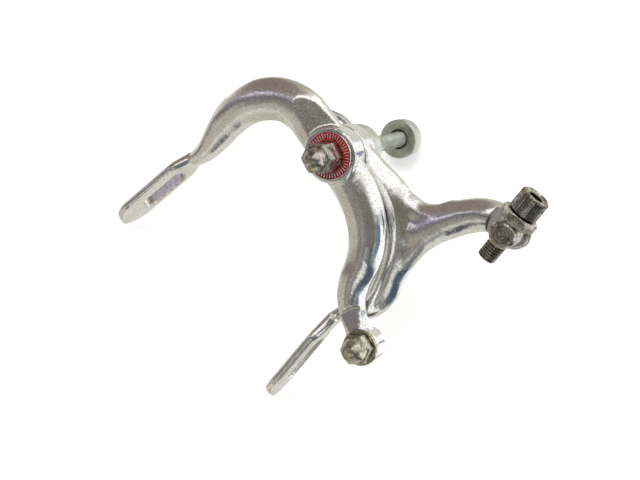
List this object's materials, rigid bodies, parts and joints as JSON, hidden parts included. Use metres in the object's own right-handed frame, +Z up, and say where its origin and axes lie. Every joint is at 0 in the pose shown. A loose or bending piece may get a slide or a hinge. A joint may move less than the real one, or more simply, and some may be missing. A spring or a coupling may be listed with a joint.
{
  "type": "bicycle rim brake caliper",
  "caption": "Single-pivot side-pull rim brake caliper with long curved forged arms, slotted pad plates, barrel cable adjuster, pinch-bolt anchor and pivot bolt.",
  "frame": {"origin": "on the pivot axis, in the rear face of the round block that seats on the fork crown", "axes": "+Y back along the pivot bolt, +Z up, +X to the right seen from the front"},
  "size_m": [0.114, 0.0903, 0.1326],
  "materials": {
    "polished_alloy": "polished, lightly pitted",
    "dark_steel": "aged nickel plate, brown-grey and pitted",
    "zinc_steel": "dull zinc plate",
    "red_enamel": "red enamel fill with bright rim",
    "spring_wire": "drawn spring wire"
  },
  "bodies": {
    "stack": {"pivot_bolt": "zinc_steel", "pivot_acorn_nut": "dark_steel", "adjusting_nut": "dark_steel", "ring_washer": "red_enamel", "middle_washer": "zinc_steel", "back_washer": "zinc_steel", "spring_block": "zinc_steel", "return_spring": "spring_wire", "crown_spacer": "zinc_steel", "rear_washer": "zinc_steel", "mounting_nut": "zinc_steel"},
    "front_arm": {"front_arm": "polished_alloy"},
    "rear_arm": {"rear_arm": "polished_alloy"},
    "cable_anchor": {"anchor_bolt": "dark_steel", "anchor_washer": "dark_steel", "anchor_acorn_nut": "dark_steel"},
    "swivel": {"swivel": "dark_steel", "swivel_clip": "dark_steel"},
    "adjuster": {"adjuster_screw": "dark_steel"},
    "locknut": {"adjuster_locknut": "dark_steel"}
  },
  "joints": [
    {"name": "front_arm_pivot", "type": "hinge", "parent": "stack", "child": "front_arm", "pos_m": [0, -0.02205, 0], "axis": [0, 1, 0], "range_deg": [-14, 0], "stiffness_Nm_per_rad": 2, "springref_deg": 20.05, "deforming": ["return_spring"]},
    {"name": "rear_arm_pivot", "type": "hinge", "parent": "stack", "child": "rear_arm", "pos_m": [0, -0.01285, 0], "axis": [0, 1, 0], "range_deg": [0, 14], "stiffness_Nm_per_rad": 2, "springref_deg": -20.05, "deforming": ["return_spring"]},
    {"name": "anchor_turn", "type": "hinge", "parent": "front_arm", "child": "cable_anchor", "pos_m": [0.0566, -0.02595, -0.0384], "axis": [0, 1, 0], "range_deg": [-45, 45]},
    {"name": "swivel_turn", "type": "hinge", "parent": "rear_arm", "child": "swivel", "pos_m": [0.0614, -0.01515, 0.029], "axis": [0, 1, 0], "range_deg": [-30, 30]},
    {"name": "adjuster_travel", "type": "slide", "parent": "swivel", "child": "adjuster", "axis": [-0.1271, 0, 0.9919], "range_m": [0, 0.008]},
    {"name": "locknut_spin", "type": "hinge", "parent": "adjuster", "child": "locknut", "pos_m": [0.0614, -0.02234, 0.029], "axis": [-0.1271, 0, 0.9919], "continuous": true}
  ]
}
